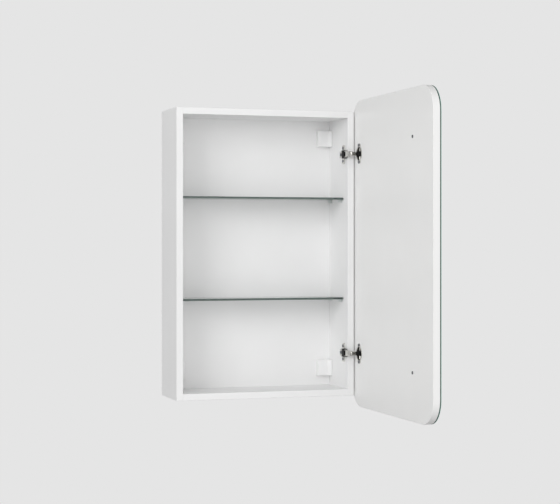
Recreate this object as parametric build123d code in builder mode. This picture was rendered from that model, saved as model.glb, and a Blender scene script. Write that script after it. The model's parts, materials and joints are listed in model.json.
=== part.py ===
from build123d import *
import os

# Wall-hung bathroom cabinet: one open carcass with two glass shelves and one mirror door.
# Frame: origin at the centre of the rear (wall) plane, +X right, +Y into the wall, +Z up.
# The door is modelled standing open at 90 degrees on the right-hand side. All sizes in mm.

os.makedirs("parts", exist_ok=True)

# ---------------------------------------------------------------- driving dimensions
body_width = 450.0
body_height = 700.0
body_depth = 150.0
board_thickness = 16.0            # melamine-faced board of the carcass
board_edge_round = 0.8            # softened front edges

back_thickness = 3.0              # thin rear panel, held in grooves
back_inset = 12.0                 # from the wall plane to the rear face of the back panel
groove_depth = 6.0
groove_clearance = 0.2            # across the panel's thickness
groove_end_clearance = 0.5        # at the bottom of each groove

shelf_thickness = 5.0             # tempered glass
shelf_front_setback = 25.0
shelf_rear_gap = 2.0              # to the back panel
shelf_side_gap = 1.0              # to each side panel
shelf_corner_radius = 4.0
upper_shelf_height = 136.0        # middle of the glass, from the middle of the body
lower_shelf_height = -111.0

support_pin_radius = 2.5
support_pin_depth = 8.0
support_tongue_reach = 9.0
support_tongue_width = 8.0
support_tongue_height = 5.0
support_pad_thickness = 1.0
support_flange_radius = 4.0
support_flange_thickness = 0.8
support_inset = 16.0              # from the front and rear edges of the glass
support_hole_clearance = 0.1
support_hole_extra = 0.5          # hole deeper than the pin

dowel_radius = 4.0
dowel_length = 30.0
dowel_in_side = 10.0              # rest of the dowel sits in the horizontal panel
dowel_hole_clearance = 0.1
dowel_end_gap = 0.5
dowel_front_inset = 25.0          # first dowel, from the front plane
dowel_back_inset = 20.0           # last dowel, from the back panel

door_overhang = 25.0              # beyond the body on every side when the door is shut
door_board_thickness = 16.0
door_corner_radius = 60.0
door_edge_round = 1.2
mirror_thickness = 3.7            # glass
silvering_thickness = 0.3         # silver and its protective paint, on the rear of the glass
mirror_arris = 0.5

door_front_gap = 2.0              # closed door's inner face to the front edges of the body
door_open_gap = 3.0               # open door's inner face to the outer face of the side panel

hinge_from_end = 105.0            # each hinge, from the top or bottom of the body
pin_radius = 1.5
pin_fixed_clearance = 0.02        # pin in the part that holds it
pin_running_clearance = 0.05      # pin in the part that turns on it
open_pivot_clearance = 0.20       # outer link on the cup pin

cup_radius = 17.5
cup_wall = 1.0
cup_depth = 11.5
cup_floor = 1.0
cup_to_pole = 28.0                # cup centre to the axis that the door swings about
cup_bore_clearance = 0.1
cup_flange_ear = 7.0              # reach of the flange beyond the cup, up and down
cup_flange_width = 20.0
cup_flange_round = 6.7
cup_flange_thickness = 1.0
cup_screw_margin = 3.2            # screw centre beyond the cup
cup_pin_from_pole = 17.0          # along the door
cup_pin_depth = 6.0               # below the door's inner face
cup_lug_gap = 0.5                 # each lug to the side of the inner link
cup_lug_wall = 0.9                # lug around its pin

arm_nose_wall = 1.5               # arm around its pin
arm_nose_gap = 0.5                # arm nose to the inner face of the side panel
arm_cheek = 1.5
arm_web = 1.5
arm_channel_height = 8.5          # web's outer face to the inner face of the side panel
arm_length = 36.0                 # from the pivot to the rear end of the arm

inner_link_half_height = 6.2
inner_link_cheek = 1.4
inner_link_web = 1.2
inner_link_web_gap = 0.4          # web to the eye of the outer link
inner_link_eye_wall = 1.3
outer_link_eye_wall = 1.1
outer_link_thickness = 3.0
layer_clearance = 0.3             # between link, link and arm along the pins

plate_inset = 25.5                # plate's wing centre from the front edge of the panel
plate_wing_height = 46.0
plate_wing_width = 13.0
plate_wing_thickness = 3.0
plate_block_length = 15.0
plate_block_height = 7.0
plate_wing_round = 3.5
plate_screw_spacing = 32.0
damper_rear_gap = 0.3
damper_side_gap = 0.1             # round the arm's cheeks
damper_wall = 1.8
damper_cap = 1.0                  # over the open side of the arm
screw_shank_radius = 2.0
screw_head_radius = 3.6
screw_head_height = 1.6
screw_length = 12.0
screw_hole_clearance = 0.05
screw_slot_width = 0.9
screw_slot_depth = 0.8
screw_slot_length = 4.3

cover_width = 34.0
cover_height = 40.0
cover_depth = 16.0
cover_wall = 1.4
cover_side_gap = 1.0
cover_round = 1.5
bracket_from_end = 60.0           # middle of each wall bracket, from the top or bottom
bracket_plate = 2.0
bracket_leg_height = 32.0
bracket_screw_spacing = 16.0
bracket_side_leg = 12.0
bracket_rear_leg = 30.0
wall_hole_radius = 3.0
wall_hole_from_side = 19.0        # from the inner face of the side panel
spacer_size = 38.0

door_screw_from_end = 110.0       # from the top or bottom of the door
door_screw_from_pole = 363.0

# ---------------------------------------------------------------- places worked out from them
half_width = body_width / 2
half_height = body_height / 2
front = -body_depth
inner_x = half_width - board_thickness
inner_z = half_height - board_thickness
back_rear = -back_inset
back_front = back_rear - back_thickness
pole_x = half_width + door_open_gap
pole_y = front - door_front_gap
# The door overhangs the body equally on all sides when it is shut about the pole.
door_width = body_width + 2 * door_overhang
door_height = body_height + 2 * door_overhang
edge_behind_pole = door_overhang - door_open_gap
door_rear = pole_y + edge_behind_pole
door_middle_y = door_rear - door_width / 2
cup_y = pole_y - cup_to_pole
cup_flange_height = 2 * (cup_radius + cup_flange_ear)
cup_screw_reach = cup_radius + cup_screw_margin
hinge_height = half_height - hinge_from_end
bracket_height = half_height - bracket_from_end
door_screw_height = door_height / 2 - door_screw_from_end
hinge_heights = {"upper": hinge_height, "lower": -hinge_height}
sides = {"left": -1, "right": 1}
corners = {"upper_left": (-1, 1), "upper_right": (1, 1),
           "lower_left": (-1, -1), "lower_right": (1, -1)}

first_dowel = front + dowel_front_inset
last_dowel = back_front - dowel_back_inset
dowel_rows = (first_dowel, (first_dowel + last_dowel) / 2, last_dowel)
dowel_level = half_height - board_thickness / 2
groove_width = back_thickness + groove_clearance
groove_y = (back_front + back_rear) / 2

shelf_front = front + shelf_front_setback
shelf_rear = back_front - shelf_rear_gap
shelf_heights = {"upper": upper_shelf_height, "lower": lower_shelf_height}
support_rows = (shelf_front + support_inset, shelf_rear - support_inset)
pad_drop = shelf_thickness / 2 + support_pad_thickness / 2
support_drop = (shelf_thickness + support_tongue_height) / 2 + support_pad_thickness
support_places = [(y, z - support_drop) for y in support_rows for z in shelf_heights.values()]

plate_y = front + plate_inset
plate_screws_at = [(plate_y, z + step * plate_screw_spacing / 2)
                   for z in hinge_heights.values() for step in (-1, 1)]
bracket_screw_y = back_front - (bracket_plate + bracket_side_leg) / 2
bracket_screws_at = [(bracket_screw_y, turn * bracket_height + step * bracket_screw_spacing / 2)
                     for turn in (-1, 1) for step in (-1, 1)]
wall_hole_x = inner_x - wall_hole_from_side
wall_holes_at = [(side * wall_hole_x, turn * bracket_height)
                 for side, turn in corners.values()]

arm_nose_radius = pin_radius + arm_nose_wall
inner_link_eye_radius = pin_radius + inner_link_eye_wall
outer_link_eye_radius = pin_radius + outer_link_eye_wall
inner_link_web_inner = outer_link_eye_radius + inner_link_web_gap
inner_link_web_outer = inner_link_web_inner + inner_link_web
cup_lug_radius = pin_radius + cup_lug_wall
cup_lug_inner = inner_link_half_height + cup_lug_gap
arm_pivot_inset = arm_nose_radius + arm_nose_gap
# The arm's pivot is level with the pole, so that the outer link only shifts and never turns.
arm_pivot = (inner_x - arm_pivot_inset, pole_y)
cup_pin = (pole_x + cup_pin_depth, pole_y - cup_pin_from_pole)
# Inner link is parallel to the line from the pole to the cup pin, and as long.
link_pin = (arm_pivot[0] + cup_pin_depth, arm_pivot[1] - cup_pin_from_pole)
inner_link_length = (cup_pin_depth**2 + cup_pin_from_pole**2) ** 0.5
arm_inner_half = inner_link_half_height + layer_clearance
arm_outer_half = arm_inner_half + arm_cheek
arm_web_outer_x = inner_x - arm_channel_height
arm_web_inner_x = arm_web_outer_x + arm_web
arm_rear = arm_pivot[1] + arm_length
outer_link_half_height = inner_link_half_height - inner_link_cheek - layer_clearance
plate_face_x = inner_x - plate_wing_thickness
plate_block_x = inner_x - plate_block_height
# The plate's block and the arm's web both begin at the front of the wings.
plate_block_front = plate_y - plate_wing_width / 2
plate_block_rear = plate_block_front + plate_block_length
arm_screw_y = (plate_block_front + plate_block_rear) / 2
# The damper stays clear of the inner link's web when the door is shut.
damper_front = arm_pivot[1] + inner_link_web_outer + layer_clearance
damper_rear = plate_block_front - damper_rear_gap
damper_half = arm_outer_half + damper_side_gap + damper_wall


def save(piece, name):
    """Label a finished piece and write its STEP file."""
    piece.label = name
    export_step(piece, f"parts/{name}.step")


def block(x_range, y_range, z_range, mode=Mode.ADD):
    """Box between two corners, for the part block that is open."""
    low, high = zip(sorted(x_range), sorted(y_range), sorted(z_range))
    with Locations(tuple((a + b) / 2 for a, b in zip(low, high))):
        Box(*[b - a for a, b in zip(low, high)], mode=mode)


def upright(centre, z_range, radius, mode=Mode.ADD):
    """Cylinder along Z, for the part block that is open."""
    bottom, top = sorted(z_range)
    with Locations((centre[0], centre[1], (bottom + top) / 2)):
        Cylinder(radius, top - bottom, mode=mode)


def screw_along_x(x, y, z, direction, length):
    """Cross-slot screw. Its head stands on the plane at x, and its shank runs on along X."""
    turn = (0, 90 * direction, 0)
    tip_middle = x + direction * length / 2
    head_middle = x - direction * screw_head_height / 2
    slot_middle = x - direction * (screw_head_height - screw_slot_depth / 2)
    with Locations((tip_middle, y, z)):
        Cylinder(screw_shank_radius, length, rotation=turn)
    with Locations((head_middle, y, z)):
        Cylinder(screw_head_radius, screw_head_height, rotation=turn)
    for size in ((screw_slot_depth, screw_slot_width, screw_slot_length),
                 (screw_slot_depth, screw_slot_length, screw_slot_width)):
        with Locations((slot_middle, y, z)):
            Box(*size, mode=Mode.SUBTRACT)


# ---------------------------------------------------------------- carcass
screw_hole_radius = screw_shank_radius + screw_hole_clearance
panel_screw_holes = bracket_screws_at + plate_screws_at
for side, sign in sides.items():
    inner_face = Plane.YZ.offset(sign * inner_x)
    with BuildPart() as side_panel:
        block((sign * inner_x, sign * half_width), (front, 0), (-half_height, half_height))
        fillet(side_panel.faces().sort_by(Axis.Y)[0].edges(), board_edge_round)
        with BuildSketch(inner_face):
            with Locations((groove_y, 0)):
                Rectangle(groove_width, 2 * (inner_z + groove_depth))
        extrude(amount=sign * groove_depth, mode=Mode.SUBTRACT)
        with BuildSketch(inner_face):
            with Locations([(y, z) for y in dowel_rows for z in (dowel_level, -dowel_level)]):
                Circle(dowel_radius + dowel_hole_clearance)
        extrude(amount=sign * (dowel_in_side + dowel_end_gap), mode=Mode.SUBTRACT)
        with BuildSketch(inner_face):
            with Locations(support_places):
                Circle(support_pin_radius + support_hole_clearance)
        extrude(amount=sign * (support_pin_depth + support_hole_extra), mode=Mode.SUBTRACT)
        with BuildSketch(inner_face):
            # The hinges are on the right-hand side only.
            with Locations(panel_screw_holes if sign > 0 else bracket_screws_at):
                Circle(screw_hole_radius)
        extrude(amount=sign * screw_length, mode=Mode.SUBTRACT)
    save(side_panel.part, f"{side}_side_panel")

dowel_in_panel = dowel_length - dowel_in_side
for name, turn in (("top", 1), ("bottom", -1)):
    with BuildPart() as cross_panel:
        block((-inner_x, inner_x), (front, 0), (turn * inner_z, turn * half_height))
        front_edges = cross_panel.faces().sort_by(Axis.Y)[0].edges().filter_by(Axis.X)
        fillet(front_edges, board_edge_round)
        groove_top = turn * (inner_z + groove_depth)
        block((-inner_x, inner_x), (groove_y - groove_width / 2, groove_y + groove_width / 2),
              (turn * inner_z, groove_top), mode=Mode.SUBTRACT)
        for sign in sides.values():
            with BuildSketch(Plane.YZ.offset(sign * inner_x)):
                with Locations([(y, turn * dowel_level) for y in dowel_rows]):
                    Circle(dowel_radius + dowel_hole_clearance)
            extrude(amount=-sign * (dowel_in_panel + dowel_end_gap), mode=Mode.SUBTRACT)
    save(cross_panel.part, f"{name}_panel")

    with BuildPart() as dowels:
        for sign in sides.values():
            with BuildSketch(Plane.YZ.offset(sign * (inner_x + dowel_in_side))):
                with Locations([(y, turn * dowel_level) for y in dowel_rows]):
                    Circle(dowel_radius)
            extrude(amount=-sign * dowel_length)
    save(dowels.part, f"{name}_dowels")

back_half_width = inner_x + groove_depth - groove_end_clearance
back_half_height = inner_z + groove_depth - groove_end_clearance
with BuildPart() as back_panel:
    block((-back_half_width, back_half_width), (back_front, back_rear),
          (-back_half_height, back_half_height))
    with BuildSketch(Plane.XZ.offset(-back_front)):
        with Locations(wall_holes_at):
            Circle(wall_hole_radius)
    extrude(amount=-back_thickness, mode=Mode.SUBTRACT)
save(back_panel.part, "back_panel")

# ---------------------------------------------------------------- glass shelves
shelf_end = inner_x - shelf_side_gap
for name, level in shelf_heights.items():
    with BuildPart() as shelf:
        block((-shelf_end, shelf_end), (shelf_front, shelf_rear),
              (level - shelf_thickness / 2, level + shelf_thickness / 2))
        fillet(shelf.edges().filter_by(Axis.Z), shelf_corner_radius)
        chamfer(shelf.faces().sort_by(Axis.Y)[0].edges().filter_by(Axis.X), mirror_arris)
    save(shelf.part, f"{name}_shelf_glass")

    tongue_level = level - support_drop
    with BuildPart() as supports:
        for sign in sides.values():
            for y in support_rows:
                with Locations((sign * (inner_x + support_pin_depth / 2), y, tongue_level)):
                    Cylinder(support_pin_radius, support_pin_depth, rotation=(0, 90, 0))
                flange_x = sign * (inner_x - support_flange_thickness / 2)
                with Locations((flange_x, y, tongue_level)):
                    Cylinder(support_flange_radius, support_flange_thickness, rotation=(0, 90, 0))
                tongue_x = (inner_x - support_tongue_reach, inner_x - support_flange_thickness)
                block([sign * x for x in tongue_x],
                      (y - support_tongue_width / 2, y + support_tongue_width / 2),
                      (tongue_level - support_tongue_height / 2,
                       tongue_level + support_tongue_height / 2))
    save(supports.part, f"{name}_shelf_supports")

    with BuildPart() as pads:
        for sign in sides.values():
            for y in support_rows:
                block((sign * (inner_x - support_tongue_reach), sign * shelf_end),
                      (y - support_tongue_width / 2, y + support_tongue_width / 2),
                      (level - pad_drop - support_pad_thickness / 2,
                       level - pad_drop + support_pad_thickness / 2))
    save(pads.part, f"{name}_shelf_pads")

# ---------------------------------------------------------------- wall brackets and covers
for name, (sign, turn) in corners.items():
    middle = turn * bracket_height
    leg_z = (middle - bracket_leg_height / 2, middle + bracket_leg_height / 2)
    with BuildPart() as bracket:
        block((sign * inner_x, sign * (inner_x - bracket_rear_leg)),
              (back_front - bracket_plate, back_front), leg_z)
        block((sign * inner_x, sign * (inner_x - bracket_plate)),
              (back_front - bracket_side_leg, back_front), leg_z)
        with BuildSketch(Plane.XZ.offset(-back_front)):
            with Locations((sign * wall_hole_x, middle)):
                Circle(wall_hole_radius)
        extrude(amount=bracket_plate, mode=Mode.SUBTRACT)
        with BuildSketch(Plane.YZ.offset(sign * inner_x)):
            with Locations([place for place in bracket_screws_at if place[1] * turn > 0]):
                Circle(screw_hole_radius)
        extrude(amount=-sign * bracket_plate, mode=Mode.SUBTRACT)
    save(bracket.part, f"{name}_wall_bracket")

    cover_outer = inner_x - cover_side_gap
    with BuildPart() as cover:
        block((sign * cover_outer, sign * (cover_outer - cover_width)),
              (back_front - cover_depth, back_front),
              (middle - cover_height / 2, middle + cover_height / 2))
        fillet(cover.faces().sort_by(Axis.Y)[0].edges(), cover_round)
        # Hollow, and open towards the back panel and the side panel.
        block((sign * cover_outer, sign * (cover_outer - cover_width + cover_wall)),
              (back_front - cover_depth + cover_wall, back_front),
              (middle - cover_height / 2 + cover_wall, middle + cover_height / 2 - cover_wall),
              mode=Mode.SUBTRACT)
    save(cover.part, f"{name}_cover")

with BuildPart() as bracket_screws:
    for sign in sides.values():
        for y, z in bracket_screws_at:
            screw_along_x(sign * (inner_x - bracket_plate), y, z, sign, screw_length)
save(bracket_screws.part, "bracket_screws")

with BuildPart() as rear_spacers:
    for sign, turn in corners.values():
        middle = turn * bracket_height
        block((sign * inner_x, sign * (inner_x - spacer_size)), (back_rear, 0),
              (middle - spacer_size / 2, middle + spacer_size / 2))
    with BuildSketch(Plane.XZ.offset(-back_rear)):
        with Locations(wall_holes_at):
            Circle(wall_hole_radius)
    extrude(amount=-back_inset, mode=Mode.SUBTRACT)
save(rear_spacers.part, "rear_spacers")

# ---------------------------------------------------------------- hinges
cup_inner_radius = cup_radius - cup_wall
# Half of the chord across the cup at the far side of its pin.
cup_pin_offset = cup_to_pole - cup_pin_from_pole
cup_chord_half = (cup_inner_radius**2 - (cup_pin_offset + pin_radius) ** 2) ** 0.5
cup_pin_half = cup_chord_half - pin_fixed_clearance
for name, level in hinge_heights.items():
    with BuildPart() as plate:
        block((plate_face_x, inner_x),
              (plate_y - plate_wing_width / 2, plate_y + plate_wing_width / 2),
              (level - plate_wing_height / 2, level + plate_wing_height / 2))
        fillet(plate.edges().filter_by(Axis.X), plate_wing_round)
        block((plate_block_x, inner_x),
              (plate_block_front, plate_block_rear),
              (level - arm_inner_half + layer_clearance, level + arm_inner_half - layer_clearance))
        with BuildSketch(Plane.YZ.offset(inner_x)):
            with Locations([place for place in plate_screws_at if place[1] * level > 0]):
                Circle(screw_hole_radius)
            with Locations((arm_screw_y, level)):
                Circle(screw_hole_radius)
        extrude(amount=-plate_block_height, mode=Mode.SUBTRACT)
    save(plate.part, f"{name}_mounting_plate")

    with BuildPart() as plate_screws:
        for y, z in plate_screws_at:
            if z * level > 0:
                screw_along_x(plate_face_x, y, z, 1, screw_length)
    save(plate_screws.part, f"{name}_plate_screws")

    arm_z = (level - arm_outer_half, level + arm_outer_half)
    with BuildPart() as arm:
        block((arm_web_outer_x, plate_face_x - layer_clearance), (arm_pivot[1], arm_rear), arm_z)
        upright(arm_pivot, arm_z, arm_nose_radius)
        fillet(arm.faces().sort_by(Axis.X)[0].edges().filter_by(Axis.Y), arm_cheek / 2)
        # Channel between the cheeks, open at the front.
        block((arm_web_inner_x, inner_x), (arm_pivot[1] - arm_nose_radius, arm_rear),
              (level - arm_inner_half, level + arm_inner_half), mode=Mode.SUBTRACT)
        block((arm_web_outer_x, arm_web_inner_x),
              (arm_pivot[1] - arm_nose_radius, plate_block_front),
              (level - arm_inner_half, level + arm_inner_half), mode=Mode.SUBTRACT)
        upright(arm_pivot, arm_z, pin_radius + pin_fixed_clearance, mode=Mode.SUBTRACT)
        with BuildSketch(Plane.YZ.offset(arm_web_outer_x)):
            with Locations((arm_screw_y, level)):
                Circle(screw_hole_radius)
        extrude(amount=arm_web, mode=Mode.SUBTRACT)
    save(arm.part, f"{name}_hinge_arm")

    # Plastic damper that clips round the arm's two cheeks, between the pivot and the plate.
    damper_y = (damper_front, damper_rear)
    with BuildPart() as damper:
        block((arm_web_outer_x - damper_cap, inner_x), damper_y,
              (level - damper_half, level + damper_half))
        for turn in (-1, 1):
            slot_z = (level + turn * arm_inner_half,
                      level + turn * (arm_outer_half + damper_side_gap))
            block((arm_web_outer_x, plate_face_x - layer_clearance + damper_side_gap),
                  damper_y, slot_z, mode=Mode.SUBTRACT)
    save(damper.part, f"{name}_damper")

    with BuildPart() as arm_screw:
        screw_along_x(arm_web_outer_x, arm_screw_y, level, 1, plate_block_height)
    save(arm_screw.part, f"{name}_arm_screw")

    with BuildPart() as arm_pin:
        upright(arm_pivot, arm_z, pin_radius)
    save(arm_pin.part, f"{name}_arm_pin")

    # Inner link: a channel whose web is on the side away from the outer link.
    link_bottom = level - inner_link_half_height
    link_plane = Plane(origin=(*arm_pivot, link_bottom),
                       x_dir=(link_pin[0] - arm_pivot[0], link_pin[1] - arm_pivot[1], 0),
                       z_dir=(0, 0, 1))
    with BuildPart() as inner_link:
        with BuildSketch(link_plane):
            with Locations((0, 0), (inner_link_length, 0)):
                Circle(inner_link_eye_radius)
            web_middle = (inner_link_eye_radius - inner_link_web_outer) / 2
            with Locations((inner_link_length / 2, web_middle)):
                Rectangle(inner_link_length, inner_link_eye_radius + inner_link_web_outer)
        extrude(amount=2 * inner_link_half_height)
        with BuildSketch(link_plane.offset(inner_link_cheek)):
            with Locations((inner_link_length / 2, 0)):
                Rectangle(inner_link_length + 4 * inner_link_eye_radius, 2 * inner_link_web_inner)
        extrude(amount=2 * (inner_link_half_height - inner_link_cheek), mode=Mode.SUBTRACT)
        with BuildSketch(link_plane):
            Circle(pin_radius + pin_running_clearance)
            with Locations((inner_link_length, 0)):
                Circle(pin_radius + pin_fixed_clearance)
        extrude(amount=2 * inner_link_half_height, mode=Mode.SUBTRACT)
    save(inner_link.part, f"{name}_inner_link")

    with BuildPart() as middle_pin:
        upright(link_pin, (link_bottom, link_bottom + 2 * inner_link_half_height), pin_radius)
    save(middle_pin.part, f"{name}_link_pin")

    outer_z = (level - outer_link_half_height, level + outer_link_half_height)
    with BuildPart() as outer_link:
        upright(link_pin, outer_z, outer_link_eye_radius)
        upright(cup_pin, outer_z, outer_link_eye_radius)
        block((link_pin[0], cup_pin[0]),
              (link_pin[1] - outer_link_thickness / 2, link_pin[1] + outer_link_thickness / 2),
              outer_z)
        upright(link_pin, outer_z, pin_radius + pin_running_clearance, mode=Mode.SUBTRACT)
        upright(cup_pin, outer_z, pin_radius + open_pivot_clearance, mode=Mode.SUBTRACT)
    save(outer_link.part, f"{name}_outer_link")

    mouth = Plane.YZ.offset(pole_x)
    with BuildPart() as cup:
        # Two lugs that hold the cup pin, trimmed to the round of the cup.
        for turn in (-1, 1):
            lug_z = (level + turn * cup_lug_inner, level + turn * cup_radius)
            block((cup_pin[0], pole_x + cup_depth),
                  (cup_pin[1] - cup_lug_radius, cup_pin[1] + cup_lug_radius), lug_z)
            upright(cup_pin, lug_z, cup_lug_radius)
        with Locations((pole_x + cup_depth / 2, cup_y, level)):
            Cylinder(cup_inner_radius + cup_wall / 2, cup_depth, rotation=(0, 90, 0),
                     mode=Mode.INTERSECT)
        with BuildSketch(mouth):
            with Locations((cup_y, level)):
                Circle(cup_radius)
                Circle(cup_inner_radius, mode=Mode.SUBTRACT)
        extrude(amount=cup_depth)
        with BuildSketch(mouth.offset(cup_depth - cup_floor)):
            with Locations((cup_y, level)):
                Circle(cup_radius)
        extrude(amount=cup_floor)
        with BuildSketch(mouth):
            with Locations((cup_y, level)):
                RectangleRounded(cup_flange_width, cup_flange_height, cup_flange_round)
                Circle(cup_radius + cup_flange_thickness)
                Circle(cup_inner_radius, mode=Mode.SUBTRACT)
            with Locations([(cup_y, level + turn * cup_screw_reach) for turn in (-1, 1)]):
                Circle(screw_hole_radius, mode=Mode.SUBTRACT)
        extrude(amount=-cup_flange_thickness)
        upright(cup_pin, (level - cup_pin_half, level + cup_pin_half),
                pin_radius + pin_fixed_clearance, mode=Mode.SUBTRACT)
    save(cup.part, f"{name}_hinge_cup")

    with BuildPart() as held_pin:
        upright(cup_pin, (level - cup_pin_half, level + cup_pin_half), pin_radius)
    save(held_pin.part, f"{name}_cup_pin")

    with BuildPart() as cup_screws:
        for turn in (-1, 1):
            screw_along_x(pole_x - cup_flange_thickness, cup_y, level + turn * cup_screw_reach,
                          1, screw_length)
    save(cup_screws.part, f"{name}_cup_screws")

# ---------------------------------------------------------------- door
door_screws_at = [(pole_y - door_screw_from_pole, turn * door_screw_height) for turn in (-1, 1)]
cup_screws_at = [(cup_y, z + turn * cup_screw_reach)
                 for z in hinge_heights.values() for turn in (-1, 1)]
door_face = Plane.YZ.offset(pole_x)
with BuildPart() as door_board:
    with BuildSketch(door_face):
        with Locations((door_middle_y, 0)):
            RectangleRounded(door_width, door_height, door_corner_radius)
    extrude(amount=door_board_thickness)
    fillet(door_board.faces().sort_by(Axis.X)[0].edges(), door_edge_round)
    with BuildSketch(door_face):
        with Locations([(cup_y, z) for z in hinge_heights.values()]):
            Circle(cup_radius + cup_bore_clearance)
    extrude(amount=cup_depth + cup_bore_clearance, mode=Mode.SUBTRACT)
    with BuildSketch(door_face):
        with Locations(cup_screws_at + door_screws_at):
            Circle(screw_hole_radius)
    extrude(amount=screw_length, mode=Mode.SUBTRACT)
save(door_board.part, "door_board")

with BuildPart() as silvering:
    with BuildSketch(door_face.offset(door_board_thickness)):
        with Locations((door_middle_y, 0)):
            RectangleRounded(door_width - 2 * mirror_arris, door_height - 2 * mirror_arris,
                             door_corner_radius - mirror_arris)
    extrude(amount=silvering_thickness)
save(silvering.part, "mirror_silvering")

with BuildPart() as mirror:
    with BuildSketch(door_face.offset(door_board_thickness + silvering_thickness)):
        with Locations((door_middle_y, 0)):
            RectangleRounded(door_width, door_height, door_corner_radius)
    extrude(amount=mirror_thickness)
    chamfer(mirror.faces().sort_by(Axis.X)[0].edges(), mirror_arris)
    chamfer(mirror.faces().sort_by(Axis.X)[-1].edges(), mirror_arris)
save(mirror.part, "mirror_glass")

with BuildPart() as door_screws:
    for y, z in door_screws_at:
        screw_along_x(pole_x, y, z, 1, screw_length)
save(door_screws.part, "door_screws")
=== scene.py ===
# %% [markdown]
# # A wall-hung mirror cabinet
# The cabinet is white faced board with two glass shelves and one mirror door that stands
# open. The carcass, door, glass and hinges come ready made, at their real size and place, as a
# fixed frame. This lesson gives each of them its finish, and models the parts that deserve more
# shape than the frame gives them: screws, hinge parts, mirror, shelf supports and covers.

# %% Load the frame
import json
import math
import bpy
import bmesh
from mathutils import Matrix, Vector

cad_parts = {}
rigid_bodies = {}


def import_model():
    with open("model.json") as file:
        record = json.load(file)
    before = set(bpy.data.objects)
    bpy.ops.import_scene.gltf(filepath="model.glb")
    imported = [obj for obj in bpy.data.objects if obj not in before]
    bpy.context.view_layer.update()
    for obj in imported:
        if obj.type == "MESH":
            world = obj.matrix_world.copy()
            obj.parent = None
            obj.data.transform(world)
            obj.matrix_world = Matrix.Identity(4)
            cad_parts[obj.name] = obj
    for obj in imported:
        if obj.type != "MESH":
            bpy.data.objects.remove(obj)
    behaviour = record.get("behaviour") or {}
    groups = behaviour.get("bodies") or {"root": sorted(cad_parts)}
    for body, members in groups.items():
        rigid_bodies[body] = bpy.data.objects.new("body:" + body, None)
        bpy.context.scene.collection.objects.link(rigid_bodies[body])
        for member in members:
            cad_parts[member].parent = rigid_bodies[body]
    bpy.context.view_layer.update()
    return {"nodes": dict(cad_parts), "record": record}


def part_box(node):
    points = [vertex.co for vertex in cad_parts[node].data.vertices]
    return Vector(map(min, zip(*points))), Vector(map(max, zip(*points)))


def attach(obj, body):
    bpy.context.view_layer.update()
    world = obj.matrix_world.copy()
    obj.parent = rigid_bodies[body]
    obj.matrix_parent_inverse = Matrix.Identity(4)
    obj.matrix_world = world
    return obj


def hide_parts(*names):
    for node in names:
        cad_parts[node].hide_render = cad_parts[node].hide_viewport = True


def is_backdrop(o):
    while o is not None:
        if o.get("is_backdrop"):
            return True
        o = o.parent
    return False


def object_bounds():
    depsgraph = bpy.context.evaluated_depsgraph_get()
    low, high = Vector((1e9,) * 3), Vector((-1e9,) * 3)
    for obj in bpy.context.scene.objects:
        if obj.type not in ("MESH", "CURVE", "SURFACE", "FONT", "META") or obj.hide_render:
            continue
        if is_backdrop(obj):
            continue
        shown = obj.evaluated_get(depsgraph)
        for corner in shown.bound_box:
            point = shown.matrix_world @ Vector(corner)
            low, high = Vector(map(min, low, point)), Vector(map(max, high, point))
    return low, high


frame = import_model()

nodes = frame["nodes"]
MM = 0.001

# %% [markdown]
# ## Camera
# A long lens from the front left, level with the middle of the cabinet, so the upright edges
# stay upright. A small shift centres the cabinet without tilting the camera, as an
# architect's lens does. The sensor is 36 mm wide.

# %% Camera
CAMERA_PLACE = (-1.1106, -3.6889, 0.0252)
CAMERA_YAW = 17.915
CAMERA_LENS = 98.4
CAMERA_SHIFT = -0.0155
camera_data = bpy.data.cameras.new("camera")
camera_data.lens = CAMERA_LENS
camera_data.sensor_width = 36.0
camera_data.shift_y = CAMERA_SHIFT
camera_data.clip_end = 100.0
camera = bpy.data.objects.new("camera", camera_data)
bpy.context.scene.collection.objects.link(camera)
camera.location = CAMERA_PLACE
camera.rotation_euler = (math.radians(90), 0, math.radians(-CAMERA_YAW))
bpy.context.scene.camera = camera

# %% [markdown]
# ## Colours and shader nodes
# Colours are written as the hex values that a paint chart gives. A shader wants linear
# light, so one function converts them.

# %% Colours
def linear(hex_colour):
    """Linear colour with alpha, from an sRGB hex value."""
    values = [int(hex_colour[i:i + 2], 16) / 255 for i in (1, 3, 5)]
    return (*[v / 12.92 if v <= 0.04045 else ((v + 0.055) / 1.055) ** 2.4 for v in values], 1.0)


print("mid grey is", round(linear("#808080")[0], 3), "in linear light")

# %% [markdown]
# Every finish below is a few nodes in front of one Principled shader. The same two steps come
# back each time: add a node with its settings, and give its inputs a value or a link. An
# input that is the same all over the surface is a plain value on the shader itself.

# %% Nodes
def set_inputs(node, inputs):
    """Give each named input a plain value, or a link from another node's socket."""
    for name, value in inputs.items():
        if isinstance(value, bpy.types.NodeSocket):
            node.id_data.links.new(value, node.inputs[name])
        else:
            node.inputs[name].default_value = value


def add_node(owner, kind, inputs=None, stops=(), **settings):
    """Add one node with its settings and inputs, and the two stops of a colour ramp."""
    node = owner.node_tree.nodes.new(kind)
    for name, value in settings.items():
        setattr(node, name, value)
    for number, (position, colour) in enumerate(stops):
        node.color_ramp.elements[number].position = position
        node.color_ramp.elements[number].color = linear(colour)
    set_inputs(node, inputs or {})
    return node


def new_material(name):
    """A node material, its Principled shader, and the place on the piece in metres."""
    material = bpy.data.materials.new(name)
    material.use_nodes = True
    place = add_node(material, "ShaderNodeTexCoord").outputs["Object"]
    return material, material.node_tree.nodes["Principled BSDF"], place


def per_metre(size_mm):
    """Noise scale whose cells are about this many millimetres across."""
    return 1 / (size_mm * MM)


print("a 4 mm pattern has scale", round(per_metre(4.0)))

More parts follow.
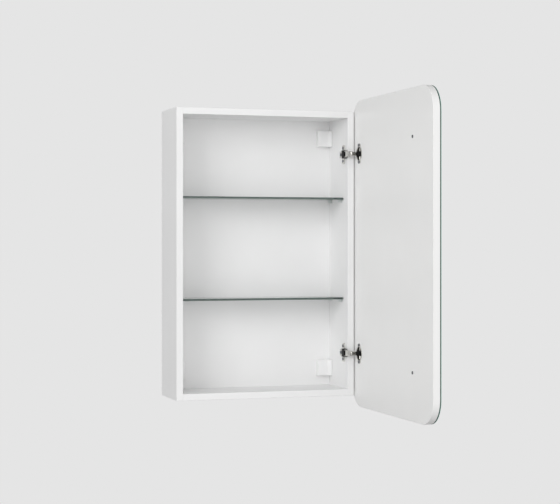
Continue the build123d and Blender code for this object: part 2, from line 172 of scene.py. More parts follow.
# %% [markdown]
# ## White melamine board
# The carcass is chipboard faced with melamine paper pressed against a slightly textured
# plate. It is a clean neutral white with a soft sheen, and a very fine pearl grain that only
# shows where light grazes it. The grain here is drawn at 1.6 mm, coarser than the real
# 0.3 mm, so that it still shows from across a room. The back panel is fibreboard with the same
# kind of facing, a little duller and coarser.

# %% White melamine board
CLOUD_MM = 140.0


def white_board_material(name, tones, pearl_mm, depth_mm, roughness):
    """Pressed white facing: pearl grain in the bump, faint mottling in tone and gloss."""
    material, shader, place = new_material(name)
    pearl = add_node(material, "ShaderNodeTexNoise",
                     {"Vector": place, "Scale": per_metre(pearl_mm), "Detail": 3.0})
    cloud = add_node(material, "ShaderNodeTexNoise",
                     {"Vector": place, "Scale": per_metre(CLOUD_MM), "Detail": 2.0})
    bump = add_node(material, "ShaderNodeBump",
                    {"Height": pearl.outputs["Fac"], "Distance": depth_mm * MM, "Strength": 0.5})
    gloss = add_node(material, "ShaderNodeMapRange",
                     {"Value": pearl.outputs["Fac"], "To Min": roughness - 0.05,
                      "To Max": roughness + 0.07})
    colour = add_node(material, "ShaderNodeValToRGB", {"Fac": cloud.outputs["Fac"]},
                      stops=((0.3, tones[0]), (0.7, tones[1])))
    set_inputs(shader, {"Base Color": colour.outputs["Color"],
                        "Roughness": gloss.outputs["Result"],
                        "Normal": bump.outputs["Normal"]})
    return material


melamine = white_board_material("white_melamine_board", ("#f2f2f2", "#f5f5f5"),
                                pearl_mm=1.6, depth_mm=0.05, roughness=0.46)
back_facing = white_board_material("white_faced_fibreboard", ("#f1f1f1", "#f4f4f4"),
                                   pearl_mm=2.4, depth_mm=0.04, roughness=0.55)
print("facings:", melamine.name, "and", back_facing.name)

# %% [markdown]
# ## Satin lacquer
# The door is fibreboard with rounded corners, so its edge can't be taped: it is sprayed.
# Sprayed satin lacquer is smoother than melamine, with a slight orange peel of about 4 mm,
# and its clear top layer adds a thin second sheen.

# %% Satin lacquer on the door
lacquer = white_board_material("satin_white_lacquer", ("#f5f5f4", "#f7f7f6"),
                               pearl_mm=4.0, depth_mm=0.03, roughness=0.36)
set_inputs(lacquer.node_tree.nodes["Principled BSDF"],
           {"Coat Weight": 0.15, "Coat Roughness": 0.3})
print("door:", lacquer.name)

# %% [markdown]
# ## Glass
# Ordinary float glass holds a little iron, so it is clear through its face and deep grey
# green where you look into its edge. Absorption inside the glass gives both at once: the
# higher the density, the sooner the light takes on the colour. A faint unevenness in the
# gloss is the haze that wiping leaves.

# %% Glass for shelves and mirror
HAZE_MM = 60.0


def float_glass(name, left_over, density):
    """Clear glass that darkens with the distance that light travels in it."""
    material, shader, place = new_material(name)
    haze = add_node(material, "ShaderNodeTexNoise",
                    {"Vector": place, "Scale": per_metre(HAZE_MM), "Detail": 2.0})
    smear = add_node(material, "ShaderNodeMapRange",
                     {"Value": haze.outputs["Fac"], "To Min": 0.0, "To Max": 0.03})
    set_inputs(shader, {"Base Color": linear("#ffffff"), "IOR": 1.52,
                        "Transmission Weight": 1.0, "Roughness": smear.outputs["Result"]})
    absorption = add_node(material, "ShaderNodeVolumeAbsorption",
                          {"Color": linear(left_over), "Density": density})
    set_inputs(material.node_tree.nodes["Material Output"],
               {"Volume": absorption.outputs["Volume"]})
    return material


shelf_glass = float_glass("tempered_float_glass", "#b4c9c3", density=22.0)
mirror_glass = float_glass("mirror_float_glass", "#b4d8cc", density=4.0)
print("glass:", shelf_glass.name, "and", mirror_glass.name)

# %% [markdown]
# The mirror's edge is ground, not polished, so it scatters light where the faces are clear.
# Beside the silver its colour is dark: a painted reflection of the backing paint, and painted
# shade of the gap between glass and board. Towards the front it is the pale green of thick glass.
# The change runs with the distance from the silver. The grit marks are drawn at 0.6 mm, coarser
# than the real tenth, so that they show.

# %% Ground edge of the mirror
# Width of the painted dark band beside the silver: painted reflection of the backing paint and
# painted shade of the gap.
PAINTED_DARK_BAND = 2.4 * MM
GRIT_MM = 0.6
silver_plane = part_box("mirror_glass")[0][0]
ground_edge, shader, place = new_material("ground_glass_edge")
depth = add_node(ground_edge, "ShaderNodeSeparateXYZ", {"Vector": place})
from_silver = add_node(ground_edge, "ShaderNodeMapRange",
                       {"Value": depth.outputs["X"], "From Min": silver_plane,
                        "From Max": silver_plane + 2 * PAINTED_DARK_BAND})
# The dark stop is painted reflection of the backing paint and painted shade of the gap at the
# board; the pale stop is the glass's own green.
edge_colour_with_painted_dark_band = add_node(ground_edge, "ShaderNodeValToRGB",
                       {"Fac": from_silver.outputs["Result"]},
                       stops=((0.42, "#36544b"), (0.58, "#c9e6de")))
grit = add_node(ground_edge, "ShaderNodeTexNoise",
                {"Vector": place, "Scale": per_metre(GRIT_MM)})
grit_bump = add_node(ground_edge, "ShaderNodeBump",
                     {"Height": grit.outputs["Fac"], "Distance": 0.03 * MM, "Strength": 0.5})
set_inputs(shader, {"Base Color": edge_colour_with_painted_dark_band.outputs["Color"], "Roughness": 0.55,
                    "Normal": grit_bump.outputs["Normal"]})
print("the ground edge is dark for", round(PAINTED_DARK_BAND / MM, 1), "mm beside the silver")

# %% [markdown]
# ## Silvering
# The mirror is a film of silver on the back of the glass. It is a near perfect metal, with
# only a trace of unevenness.

# %% Silvering
FILM_MM = 90.0
silver, shader, place = new_material("silver_film")
film = add_node(silver, "ShaderNodeTexNoise", {"Vector": place, "Scale": per_metre(FILM_MM)})
film_gloss = add_node(silver, "ShaderNodeMapRange",
                      {"Value": film.outputs["Fac"], "To Min": 0.0, "To Max": 0.012})
set_inputs(shader, {"Base Color": linear("#eef1f0"), "Metallic": 1.0,
                    "Roughness": film_gloss.outputs["Result"]})
print("silver:", silver.name)

# %% [markdown]
# ## Plated steel
# Hinge arms and plates are stamped steel, nickel plated: bright, slightly warm, and scuffed
# by the tumbling drum in no direction at all. The screws are zinc plated, which is greyer.
# The pins are bare ground steel. The scuffs are drawn ten times coarser than real ones.

# %% Plated metals
def plated_steel(name, tones, roughness, mottle_mm, scuff_depth_mm):
    """Metal with uneven gloss from tumbling, and scuffs a sixth of the size."""
    material, shader, place = new_material(name)
    mottle = add_node(material, "ShaderNodeTexNoise",
                      {"Vector": place, "Scale": per_metre(mottle_mm), "Detail": 4.0})
    scuffs = add_node(material, "ShaderNodeTexNoise",
                      {"Vector": place, "Scale": per_metre(mottle_mm / 6), "Detail": 6.0})
    colour = add_node(material, "ShaderNodeValToRGB", {"Fac": mottle.outputs["Fac"]},
                      stops=((0.35, tones[0]), (0.65, tones[1])))
    gloss = add_node(material, "ShaderNodeMapRange",
                     {"Value": mottle.outputs["Fac"], "To Min": roughness - 0.08,
                      "To Max": roughness + 0.1})
    bump = add_node(material, "ShaderNodeBump",
                    {"Height": scuffs.outputs["Fac"], "Distance": scuff_depth_mm * MM,
                     "Strength": 0.4})
    set_inputs(shader, {"Base Color": colour.outputs["Color"], "Metallic": 1.0,
                        "Roughness": gloss.outputs["Result"],
                        "Normal": bump.outputs["Normal"]})
    return material


nickel = plated_steel("nickel_plated_steel", ("#c9c8c4", "#dcdbd7"),
                      roughness=0.22, mottle_mm=6.0, scuff_depth_mm=0.02)
zinc = plated_steel("zinc_plated_screw_steel", ("#6e7175", "#8b8e92"),
                    roughness=0.36, mottle_mm=3.0, scuff_depth_mm=0.02)
ground_pin = plated_steel("ground_pin_steel", ("#858585", "#9b9b9b"),
                          roughness=0.2, mottle_mm=4.0, scuff_depth_mm=0.01)
print("metals:", [metal.name for metal in (nickel, zinc, ground_pin)])

# %% [markdown]
# ## Moulded plastics
# The corner covers are injection moulded ABS with a fine spark-eroded texture. The dampers and
# closing cams are black acetal, whose greasy surface has little shine. The shelf supports are
# clear polycarbonate and their pads clear soft vinyl. Small clear mouldings look milky, because
# light scatters inside them, so only part of the light passes straight through. The texture
# from the mould is drawn at 1 mm or more, coarser than the real tenth, so that it shows.

# %% Plastics
def moulded_plastic(name, tones, texture_mm, depth_mm, roughness, more=None):
    """Moulded plastic with an even fine texture from the mould."""
    material, shader, place = new_material(name)
    grain = add_node(material, "ShaderNodeTexNoise",
                     {"Vector": place, "Scale": per_metre(texture_mm), "Detail": 2.0})
    bump = add_node(material, "ShaderNodeBump",
                    {"Height": grain.outputs["Fac"], "Distance": depth_mm * MM, "Strength": 0.5})
    colour = add_node(material, "ShaderNodeValToRGB", {"Fac": grain.outputs["Fac"]},
                      stops=((0.3, tones[0]), (0.7, tones[1])))
    set_inputs(shader, {"Base Color": colour.outputs["Color"], "Roughness": roughness,
                        "Normal": bump.outputs["Normal"], **(more or {})})
    return material


white_abs = moulded_plastic("moulded_white_abs", ("#f1f1f1", "#f5f5f5"),
                            texture_mm=1.0, depth_mm=0.03, roughness=0.42)
black_acetal = moulded_plastic("moulded_black_acetal", ("#0e0e0f", "#161617"),
                               texture_mm=1.0, depth_mm=0.03, roughness=0.6,
                               more={"Specular IOR Level": 0.25})
clear_moulding = moulded_plastic("clear_moulded_polycarbonate", ("#e2e8e6", "#e8eeec"),
                                 texture_mm=3.0, depth_mm=0.01, roughness=0.3,
                                 more={"Transmission Weight": 0.35, "IOR": 1.49})
clear_vinyl = moulded_plastic("clear_soft_vinyl", ("#e0e6e4", "#e8eeec"),
                              texture_mm=2.0, depth_mm=0.02, roughness=0.35,
                              more={"Transmission Weight": 0.4, "IOR": 1.45})
print("plastics:", [p.name for p in (white_abs, black_acetal, clear_moulding, clear_vinyl)])

# %% [markdown]
# ## Beech
# The dowels and the spacers behind the back panel are plain planed beech, pale brown with
# short dark flecks along the grain. A Mapping node squeezes the noise across the grain, so
# that its cells come out ten times as long as they are wide.

# %% Beech
FLECK_LENGTH_MM = 6.25
FLECK_SQUEEZE = 10.0
beech, shader, place = new_material("planed_beech")
squeezed = add_node(beech, "ShaderNodeMapping",
                    {"Vector": place, "Scale": (1.0, FLECK_SQUEEZE, FLECK_SQUEEZE)})
flecks = add_node(beech, "ShaderNodeTexNoise",
                  {"Vector": squeezed.outputs["Vector"], "Scale": per_metre(FLECK_LENGTH_MM),
                   "Detail": 5.0})
wood_colour = add_node(beech, "ShaderNodeValToRGB", {"Fac": flecks.outputs["Fac"]},
                       stops=((0.38, "#b98d5f"), (0.62, "#d9b98c")))
wood_bump = add_node(beech, "ShaderNodeBump", {"Height": flecks.outputs["Fac"],
                                               "Distance": 0.05 * MM, "Strength": 0.6})
set_inputs(shader, {"Base Color": wood_colour.outputs["Color"], "Roughness": 0.6,
                    "Normal": wood_bump.outputs["Normal"]})
print("beech flecks are", FLECK_LENGTH_MM, "mm long")

# %% [markdown]
# ## Dress the frame
# Each frame piece takes the finish of what it is made of. The record's material slots say
# which pieces share a finish.

# %% Dress the frame
finish_of_slot = {
    "white_board": melamine, "white_back": back_facing, "white_lacquer": lacquer,
    "glass": shelf_glass, "mirror_glass": mirror_glass, "silvering": silver,
    "white_plastic": white_abs, "clear_pad": clear_vinyl, "beech": beech,
    "clear_plastic": clear_moulding, "black_plastic": black_acetal, "nickel": nickel,
    "pin_steel": ground_pin, "screw_steel": zinc,
}
for part in frame["record"]["subparts"]:
    slots = nodes[part["node"]].data.materials
    slots.clear()
    slots.append(finish_of_slot[part["material_slot"]])
print("finishes in use:", len(finish_of_slot))

# %% [markdown]
# ## Studio
# The cabinet hangs well above a pale floor, in front of pale walls of the same tone, so floor
# and walls run together without a line. They are there for the camera, and neither throws
# light or shade on the cabinet.

# %% Pale floor and walls
scene = bpy.context.scene
scene.view_settings.view_transform = "Standard"
FLOOR_LEVEL = -1.6
STUDIO_SIZE = 60.0
pale_paper, shader, _ = new_material("pale_background_paper")
set_inputs(shader, {"Base Color": linear("#000000"), "Roughness": 1.0,
                    "Specular IOR Level": 0.0, "Emission Color": linear("#e5e5e5"),
                    "Emission Strength": 1.0})


def set_stage(name):
    """Give a new backdrop its paper, and keep it out of the light that falls on the cabinet."""
    backdrop = bpy.context.object
    backdrop.name = name
    backdrop.data.materials.append(pale_paper)
    for ray in ("diffuse", "glossy", "shadow", "volume_scatter"):
        setattr(backdrop, f"visible_{ray}", False)
    backdrop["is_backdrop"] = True


bpy.ops.object.select_all(action="DESELECT")
bpy.ops.mesh.primitive_plane_add(size=STUDIO_SIZE, location=(0, 0, FLOOR_LEVEL))
set_stage("floor")
bpy.ops.mesh.primitive_cube_add(size=STUDIO_SIZE)
set_stage("walls")

# %% [markdown]
# ## Light
# Most of the light comes from the world, as from a room with a large softbox on each side. A
# direction has three parts, X, Y and Z, whose squares add up to one. Each square weighs the
# softbox on its own side, so one softbox fades smoothly into the next. Little comes from
# above and none from below, which leaves the soft shade under the top panel and the shelves.

# %% Light from the room
# Strength of the softboxes on the negative and positive side of each axis.
ROOM_LIGHT = {"X": (0.75, 1.2), "Y": (0.97, 0.4), "Z": (0.0, 0.1)}
world = bpy.data.worlds.new("softbox_room")
scene.world = world
world.use_nodes = True
direction = add_node(world, "ShaderNodeTexCoord").outputs["Generated"]
parts_of_direction = add_node(world, "ShaderNodeSeparateXYZ", {"Vector": direction})
total = None
for axis, (below, above) in ROOM_LIGHT.items():
    along = parts_of_direction.outputs[axis]
    side = add_node(world, "ShaderNodeMath", {0: along, 1: 0.0}, operation="GREATER_THAN")
    strength = add_node(world, "ShaderNodeMapRange",
                        {"Value": side.outputs[0], "To Min": below, "To Max": above})
    share = add_node(world, "ShaderNodeMath", {0: along, 1: along}, operation="MULTIPLY")
    light = add_node(world, "ShaderNodeMath", {0: share.outputs[0], 1: strength.outputs[0]},
                     operation="MULTIPLY").outputs[0]
    if total is not None:
        light = add_node(world, "ShaderNodeMath", {0: total, 1: light}, operation="ADD").outputs[0]
    total = light
set_inputs(world.node_tree.nodes["Background"], {"Color": linear("#ffffff"),
                                                 "Strength": total})
print("softboxes:", ROOM_LIGHT)

# %% [markdown]
# Two square area lamps in front, above the middle and to the left, give the light a
# direction. They face a point in the opening of the cabinet.

# %% Lamps
LIGHT_TARGET = (0.1, -0.2, 0.0)
LAMP_SIZE = 1.6


def soft_lamp(name, place, watts):
    """Square area lamp that faces the cabinet."""
    light = bpy.data.lights.new(name, "AREA")
    light.shape = "SQUARE"
    light.size = LAMP_SIZE
    light.energy = watts
    lamp = bpy.data.objects.new(name, light)
    scene.collection.objects.link(lamp)
    lamp.location = place
    aim = Vector(LIGHT_TARGET) - Vector(place)
    lamp.rotation_euler = aim.to_track_quat("-Z", "Y").to_euler()
    # The closed mirror would show the lamp as a hard white square, so it is kept out of it.
    lamp.visible_transmission = False


soft_lamp("key_lamp", (-2.6, -2.6, 1.2), 39.0)
soft_lamp("front_lamp", (-0.9, -4.0, 0.6), 8.0)

# %% [markdown]
# ## How the fittings are made
# Stamped steel, moulded plastic and turned pins have no sharp edges, and light on a rounded
# edge is what makes a small part look real. Simple fittings are modelled from a cube or a
# cylinder in edit mode. Folded steel parts start from a copy of their frame piece, whose
# loose triangles are merged and cleaned, and then get their edges rounded by a bevel.

# %% Select and edit
def clear_selection():
    """Deselect everything, because an operator acts on all that is selected."""
    bpy.ops.object.select_all(action="DESELECT")


def make_active(piece):
    """Select one piece, alone, and make it the one that operators act on."""
    clear_selection()
    piece.select_set(True)
    bpy.context.view_layer.objects.active = piece


def start_editing(piece):
    """Enter edit mode on one piece, with all of its faces selected."""
    make_active(piece)
    bpy.ops.object.mode_set(mode="EDIT")
    bpy.ops.mesh.select_mode(type="FACE")
    bpy.ops.mesh.select_all(action="SELECT")


def stop_editing():
    """Leave edit mode."""
    bpy.ops.object.mode_set(mode="OBJECT")


FACING = 0.9    # a face looks along an axis when that part of its normal is above this


def select_faces(piece, wanted):
    """In edit mode, select the faces whose middle and normal pass a test."""
    bpy.ops.mesh.select_all(action="DESELECT")
    mesh = bmesh.from_edit_mesh(piece.data)
    for face in mesh.faces:
        face.select_set(wanted(face.calc_center_median(), face.normal))
    bmesh.update_edit_mesh(piece.data)


print("ready to edit")

# %% [markdown]
# A primitive is added at its size and place, and its place then goes into its mesh, so that
# every finished piece stands at the origin, unturned and unscaled.

# %% Starting shapes
TURN_TO = {"X": (0, math.radians(90), 0), "Z": (0, 0, 0)}


def take_new(name):
    """Name the primitive that was just added, and move its place into its mesh."""
    piece = bpy.context.object
    piece.name = name
    bpy.ops.object.transform_apply(location=True, rotation=True, scale=True)
    return piece


def add_block(name, low, high):
    """Box between two corners, in metres."""
    clear_selection()
    low, high = Vector(low), Vector(high)
    bpy.ops.mesh.primitive_cube_add(size=1, location=(low + high) / 2, scale=high - low)
    return take_new(name)


def add_round(name, middle, axis, radius, length, sides):
    """Cylinder along X or Z, in metres."""
    clear_selection()
    bpy.ops.mesh.primitive_cylinder_add(vertices=sides, radius=radius, depth=length,
                                        location=middle, rotation=TURN_TO[axis])
    return take_new(name)


def corners_of(node):
    """Lowest and highest corner of a frame piece, as vectors."""
    return [Vector(corner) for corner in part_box(node)]


print("rounds can lie along", list(TURN_TO))

# %% [markdown]
# Modifiers do what would be tedious by hand. Each is applied at once, so the mesh is final.
# Rounding edges is the most common: a bevel that takes only edges sharper than 40 degrees.

# %% Modifiers
SHARP_EDGE = math.radians(40)


def apply_modifier(piece, kind, **settings):
    """Add one modifier, set it and apply it."""
    modifier = piece.modifiers.new(kind.lower(), kind)
    for name, value in settings.items():
        setattr(modifier, name, value)
    make_active(piece)
    bpy.ops.object.modifier_apply(modifier=modifier.name)


def round_edges(piece, width_mm, segments=2, sharper_than=SHARP_EDGE):
    """Bevel the edges that are sharper than an angle."""
    apply_modifier(piece, "BEVEL", width=width_mm * MM, segments=segments,
                   limit_method="ANGLE", angle_limit=sharper_than)


print("edges sharper than", round(math.degrees(SHARP_EDGE)), "degrees get rounded")

# %% [markdown]
# A finished piece takes over from its frame piece: the same body, slot and finish, with
# shading that is smooth round a bevel and crisp at a corner.

# %% Finished pieces
SMOOTH_BELOW = math.radians(35)
RECORD = frame["record"]
BODY_OF_NODE = {node: body for body, its_nodes in RECORD["behaviour"]["bodies"].items()
                for node in its_nodes}
SLOT_OF_NODE = {part["node"]: part["material_slot"] for part in RECORD["subparts"]}


def dress(piece, body, slot):
    """Give a piece its finish and shading, and say what it rides on."""
    piece.data.materials.clear()
    piece.data.materials.append(finish_of_slot[slot])
    make_active(piece)
    bpy.ops.object.shade_smooth_by_angle(angle=SMOOTH_BELOW)
    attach(piece, body)


def finish_piece(piece, node):
    """Dress a piece that stands for one frame piece."""
    piece.name = f"{node}_finished"
    dress(piece, BODY_OF_NODE[node], SLOT_OF_NODE[node])
    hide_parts(node)
    return piece


print("frame pieces with a body:", len(BODY_OF_NODE))

# %% [markdown]
# What repeats is modelled once and copied, each copy with its own mesh, and the copies that
# stand for one frame piece are joined.

# %% Copy and join
def join_pieces(pieces):
    """Join several meshes into the first one."""
    make_active(pieces[0])
    for piece in pieces:
        piece.select_set(True)
    bpy.ops.object.join()
    return pieces[0]


def place_copies(model, places):
    """One copy of a finished mesh at each place, joined into one piece."""
    copies = []
    for place in places:
        copy = bpy.data.objects.new(model.name, model.data.copy())
        copy.data.transform(place)
        scene.collection.objects.link(copy)
        copies.append(copy)
    return join_pieces(copies)


print("ready to copy")

# %% [markdown]
# ## Screws
# Each screw head is a low dome with a cross recess, about 7 mm across. One screw is modelled
# along X: a cylinder whose rim is bevelled, an inset face drawn out into the shank and then
# into a point, and a cross cut by two Booleans.

# %% One screw
HEAD_RADIUS = 3.6 * MM
HEAD_HEIGHT = 1.6 * MM
HEAD_ROUND = 0.9 * MM
SHANK_RADIUS = 2.0 * MM
POINT_LENGTH = 2.0 * MM
POINT_SHRINK = 0.25
RECESS_LENGTH = 4.2 * MM
RECESS_WIDTH = 0.95 * MM
RECESS_DEPTH = 0.9 * MM


def model_screw(length):
    """Screw whose head stands in front of x = 0 and whose shank runs on along X."""
    screw = add_round("screw", (-HEAD_HEIGHT / 2, 0, 0), "X", HEAD_RADIUS, HEAD_HEIGHT, 40)
    start_editing(screw)
    select_faces(screw, lambda middle, normal: normal.x < -FACING)
    bpy.ops.mesh.bevel(offset=HEAD_ROUND, segments=4, affect="EDGES")
    select_faces(screw, lambda middle, normal: normal.x > FACING)
    bpy.ops.mesh.inset(thickness=HEAD_RADIUS - SHANK_RADIUS)
    for reach in (length - POINT_LENGTH, POINT_LENGTH):
        bpy.ops.mesh.extrude_region_move(TRANSFORM_OT_translate={"value": (reach, 0, 0)})
    bpy.ops.transform.resize(value=(1, POINT_SHRINK, POINT_SHRINK),
                             center_override=(length, 0, 0))
    stop_editing()
    for width, height in ((RECESS_LENGTH, RECESS_WIDTH), (RECESS_WIDTH, RECESS_LENGTH)):
        bar = add_block("bar", (-HEAD_HEIGHT - 1 * MM, -width / 2, -height / 2),
                        (-HEAD_HEIGHT + RECESS_DEPTH, width / 2, height / 2))
        apply_modifier(screw, "BOOLEAN", object=bar, operation="DIFFERENCE", solver="EXACT")
        bpy.data.objects.remove(bar)
    return screw


screw = model_screw(12 * MM)
print("one screw:", len(screw.data.polygons), "faces")

# %% [markdown]
# Two screws hold each mounting plate, each cup, and one fitting inside the door. A pair stands
# at the two ends of its frame piece's box, along Y or along Z. Each screw is turned by a
# different angle, because nobody lines up the slots of ten screws.

# %% Pairs of screws
SLOT_STEP = 37.0
SCREW_PAIRS = ["door_screws"] + [f"{level}_{kind}_screws" for level in ("upper", "lower")
                                 for kind in ("plate", "cup")]
slot_turn = 17.0
for node in SCREW_PAIRS:
    low, high = corners_of(node)
    middle = (low + high) / 2
    along = "Y" if high.y - low.y > high.z - low.z else "Z"
    half_gap = (high - low)["XYZ".index(along)] / 2 - HEAD_RADIUS
    places = []
    for side in (-1, 1):
        spot = Vector((low.x + HEAD_HEIGHT, middle.y, middle.z))
        spot["XYZ".index(along)] += side * half_gap
        slot_turn += SLOT_STEP
        places.append(Matrix.Translation(spot) @ Matrix.Rotation(math.radians(slot_turn), 4, "X"))
    finish_piece(place_copies(screw, places), node)
bpy.data.objects.remove(screw)
print("screw pairs:", len(SCREW_PAIRS))

# %% [markdown]
# One shorter screw clamps each hinge arm to its mounting plate.

# %% Arm screws
for level in ("upper", "lower"):
    node = f"{level}_arm_screw"
    low, high = corners_of(node)
    middle = (low + high) / 2
    arm_screw = model_screw(7 * MM)
    arm_screw.data.transform(Matrix.Translation((low.x + HEAD_HEIGHT, middle.y, middle.z)))
    finish_piece(arm_screw, node)
print("two arm screws")

# %% [markdown]
# ## Hinge pins
# The pins that the links turn on are cut from ground bar. The arm pin shows outside, so both
# of its ends are peened over into a small flat dome a little wider than the pin. The other
# two sit inside the links, and their ends only have a narrow bevel.

# %% Hinge pins
DOME_SPREAD = 1.5
DOME_HEIGHT = 0.4 * MM
DOME_ROUND = 0.35 * MM
NECK = 0.1 * MM
PIN_BEVEL = 0.2 * MM


def peen_over(pin, side):
    """In edit mode, spread one end of a pin into a dome. Its side is 1 for the top end."""
    select_faces(pin, lambda middle, normal: normal.z * side > FACING)
    bpy.ops.mesh.extrude_region_move(TRANSFORM_OT_translate={"value": (0, 0, side * NECK)})
    bpy.ops.transform.resize(value=(DOME_SPREAD, DOME_SPREAD, 1))
    bpy.ops.mesh.extrude_region_move(
        TRANSFORM_OT_translate={"value": (0, 0, side * DOME_HEIGHT)})
    bpy.ops.mesh.bevel(offset=DOME_ROUND, segments=3, affect="EDGES")


for level in ("upper", "lower"):
    for kind in ("arm", "link", "cup"):
        node = f"{level}_{kind}_pin"
        low, high = corners_of(node)
        pin = add_round(node, (low + high) / 2, "Z", (high.x - low.x) / 2, high.z - low.z, 24)
        start_editing(pin)
        if kind == "arm":
            peen_over(pin, -1)
            peen_over(pin, 1)
        else:
            select_faces(pin, lambda middle, normal: abs(normal.z) > FACING)
            bpy.ops.mesh.bevel(offset=PIN_BEVEL, segments=2, affect="EDGES")
        stop_editing()
        finish_piece(pin, node)
print("six pins")

# %% [markdown]
# ## Hinge stampings
# The arm, the mounting plate, both links and the cup are pressed or folded from sheet. The
# frame has their true shapes, so they only need what pressing leaves: rounded edges. The
# damper beside the arm is a black moulding with the same treatment, a little rounder.

# %% Hinge stampings
EDGE_ROUND_MM = {"mounting_plate": (0.5, 3), "hinge_arm": (0.35, 2), "inner_link": (0.3, 2),
                 "outer_link": (0.3, 2), "hinge_cup": (0.25, 2), "damper": (0.5, 3)}


def merge_and_clean(piece, merge_mm):
    """Merge points that touch, and dissolve the edges inside flat faces."""
    start_editing(piece)
    bpy.ops.mesh.remove_doubles(threshold=merge_mm * MM)
    bpy.ops.mesh.dissolve_limited(angle_limit=math.radians(1))
    stop_editing()


def softened_copy(node, width_mm, segments=2):
    """Copy of a frame piece with merged triangles and rounded edges."""
    piece = bpy.data.objects.new(node, nodes[node].data.copy())
    scene.collection.objects.link(piece)
    merge_and_clean(piece, 0.001)
    round_edges(piece, width_mm, segments)
    return finish_piece(piece, node)


for level in ("upper", "lower"):
    for kind, (width_mm, segments) in EDGE_ROUND_MM.items():
        softened_copy(f"{level}_{kind}", width_mm, segments)
print("hinge pieces with rounded edges:", 2 * len(EDGE_ROUND_MM))

# %% [markdown]
# ## Mirror
# Glass and silver touch in the real mirror. Two surfaces in one plane would trap the light
# between them here, so the silver is a copy of its frame piece set back by a hair. The glass
# is a copy too, so that it can have an arris, the narrow flat ground along a cut edge, and the
# ground finish on its rim.

# %% Mirror glass and silver
SILVER_GAP = 0.03 * MM
SILVER_HALF = 0.15 * MM
ARRIS_MM = 0.4
silver_sheet = softened_copy("mirror_silvering", 0.02)
for vertex in silver_sheet.data.vertices:
    if vertex.co.x > silver_plane - SILVER_HALF:
        vertex.co.x -= SILVER_GAP
mirror = softened_copy("mirror_glass", ARRIS_MM)
mirror.data.materials.append(ground_edge)
for face in mirror.data.polygons:
    face.material_index = 0 if abs(face.normal.x) > 0.95 else 1
print("mirror:", len(mirror.data.polygons), "faces")

# %% [markdown]
# ## Closing cams
# The hinge closes by itself over its last few degrees, because a spring presses on a black
# plastic cam on the end of the outer link, down in the cup. The cam is a short cylinder
# round the cup pin, drawn out in two steps along the link. It turns with the link, and the
# outer step is low enough to fold between the cheeks of the inner link when the door is shut.

# %% Closing cams
CAM_RADIUS = 3.9 * MM
CAM_HALF_HEIGHT = 5.8 * MM
# Reach, half width and half height of each step.
CAM_STEPS = ((5.0 * MM, 3.1 * MM, 5.3 * MM), (11.0 * MM, 2.6 * MM, 4.4 * MM))
for level in ("upper", "lower"):
    low, high = corners_of(f"{level}_cup_pin")
    middle = (low + high) / 2
    cam = add_round(f"{level}_closing_cam", middle, "Z", CAM_RADIUS, 2 * CAM_HALF_HEIGHT, 32)
    for reach, half_width, half_height in CAM_STEPS:
        step = add_block("step", middle - Vector((reach, half_width, half_height)),
                         middle + Vector((0, half_width, half_height)))
        apply_modifier(cam, "BOOLEAN", object=step, operation="UNION", solver="EXACT")
        bpy.data.objects.remove(step)
    merge_and_clean(cam, 0.01)
    round_edges(cam, 0.25, 3)
    dress(cam, "outer_links", "black_plastic")
print("each cam:", len(cam.data.polygons), "faces")

# %% [markdown]
# ## Shelf supports
# The shelves rest on clear moulded pegs: a pin in the side panel, a thin flange against it,
# and a tongue with a soft pad. The underside of the tongue is rounded by a wide bevel, so
# that it almost vanishes under the glass.

# %% Shelf supports
PIN_RADIUS = 2.5 * MM
FLANGE_RADIUS = 4.0 * MM
FLANGE_THICKNESS = 0.8 * MM
TONGUE_WIDTH = 8.0 * MM
TONGUE_HEIGHT = 5.0 * MM
TONGUE_REACH = 9.0 * MM
TONGUE_ROUND = 1.6 * MM
PIN_IN_PANEL = 8.0 * MM
PIN_ROUND = 0.6 * MM


def model_support(side, panel_x, y, z):
    """One support. Its side is 1 on the right and -1 on the left."""
    low_x, high_x = sorted((panel_x - side * TONGUE_REACH, panel_x - side * FLANGE_THICKNESS))
    tongue = add_block("tongue", (low_x, y - TONGUE_WIDTH / 2, z - TONGUE_HEIGHT / 2),
                       (high_x, y + TONGUE_WIDTH / 2, z + TONGUE_HEIGHT / 2))
    start_editing(tongue)
    select_faces(tongue, lambda middle, normal: normal.z < -FACING)
    bpy.ops.mesh.bevel(offset=TONGUE_ROUND, segments=5, affect="EDGES")
    stop_editing()
    round_edges(tongue, 0.3)
    flange = add_round("flange", (panel_x - side * FLANGE_THICKNESS / 2, y, z), "X",
                       FLANGE_RADIUS, FLANGE_THICKNESS, 28)
    round_edges(flange, 0.25)
    pin = add_round("pin", (panel_x + side * PIN_IN_PANEL / 2, y, z), "X", PIN_RADIUS,
                    PIN_IN_PANEL, 24)
    start_editing(pin)
    select_faces(pin, lambda middle, normal: normal.x * side > FACING)
    bpy.ops.mesh.bevel(offset=PIN_ROUND, segments=2, affect="EDGES")
    stop_editing()
    return [tongue, flange, pin]


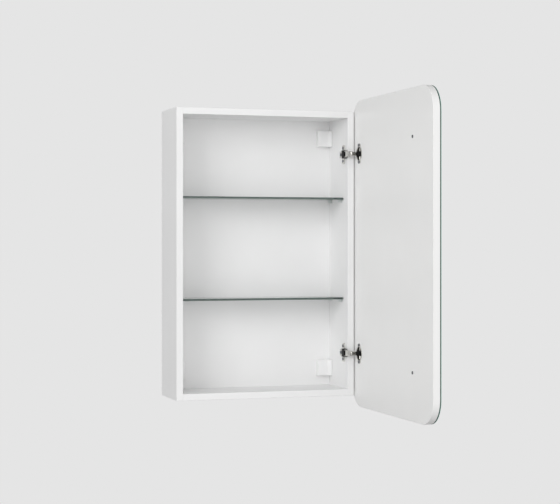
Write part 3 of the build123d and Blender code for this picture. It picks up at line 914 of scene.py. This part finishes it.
for level in ("upper", "lower"):
    node = f"{level}_shelf_supports"
    low, high = corners_of(node)
    panel_x = high.x - PIN_IN_PANEL
    supports = []
    for side in (-1, 1):
        for y in (low.y + FLANGE_RADIUS, high.y - FLANGE_RADIUS):
            supports += model_support(side, side * panel_x, y, (low.z + high.z) / 2)
    finish_piece(join_pieces(supports), node)
    softened_copy(f"{level}_shelf_pads", 0.2)
print("eight shelf supports")

# %% [markdown]
# ## Bracket covers
# A white cap hides each wall bracket in its corner. It is a thin moulding with a soft front
# edge. Along the side panel its front rises in a narrow sloping band, which catches the light.
# A closed block is cut in two by a bisect, the front edge by the side panel is pulled forward,
# and the two faces that lie against the panels are deleted. The bevel takes edges from 12
# degrees up, so it rounds the start of the slope too. Solidify gives the shell its wall.

# %% Bracket covers
COVER_BAND = 9.0 * MM
COVER_RISE = 6.5 * MM
COVER_WALL = 1.4 * MM
COVER_ROUND_MM = 1.2
GENTLE_EDGE = math.radians(12)


def select_corners(piece, wanted):
    """In edit mode, select the vertices whose place passes a test."""
    bpy.ops.mesh.select_mode(type="VERT")
    bpy.ops.mesh.select_all(action="DESELECT")
    mesh = bmesh.from_edit_mesh(piece.data)
    for corner in mesh.verts:
        corner.select_set(wanted(corner.co))
    mesh.select_flush(True)
    bmesh.update_edit_mesh(piece.data)


for node in [n for n in nodes if n.endswith("_cover")]:
    low, high = corners_of(node)
    side = 1 if "right" in node else -1
    outer_x = high.x if side > 0 else low.x
    cover = add_block(node, low, high)
    start_editing(cover)
    bpy.ops.mesh.bisect(plane_co=(outer_x - side * COVER_BAND, 0, 0), plane_no=(1, 0, 0))
    select_corners(cover, lambda place: abs(place.x - outer_x) < COVER_WALL
                   and abs(place.y - low.y) < COVER_WALL)
    bpy.ops.transform.translate(value=(0, -COVER_RISE, 0))
    bpy.ops.mesh.select_mode(type="FACE")
    select_faces(cover, lambda middle, normal: normal.y > FACING or normal.x * side > FACING)
    bpy.ops.mesh.delete(type="FACE")
    stop_editing()
    round_edges(cover, COVER_ROUND_MM, 4, GENTLE_EDGE)
    apply_modifier(cover, "SOLIDIFY", thickness=COVER_WALL, offset=-1.0)
    finish_piece(cover, node)
print("four covers")

# %% [markdown]
# ## Finish
# The box of the finished model is measured, leaving out the backdrop.

# %% Finish
low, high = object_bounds()
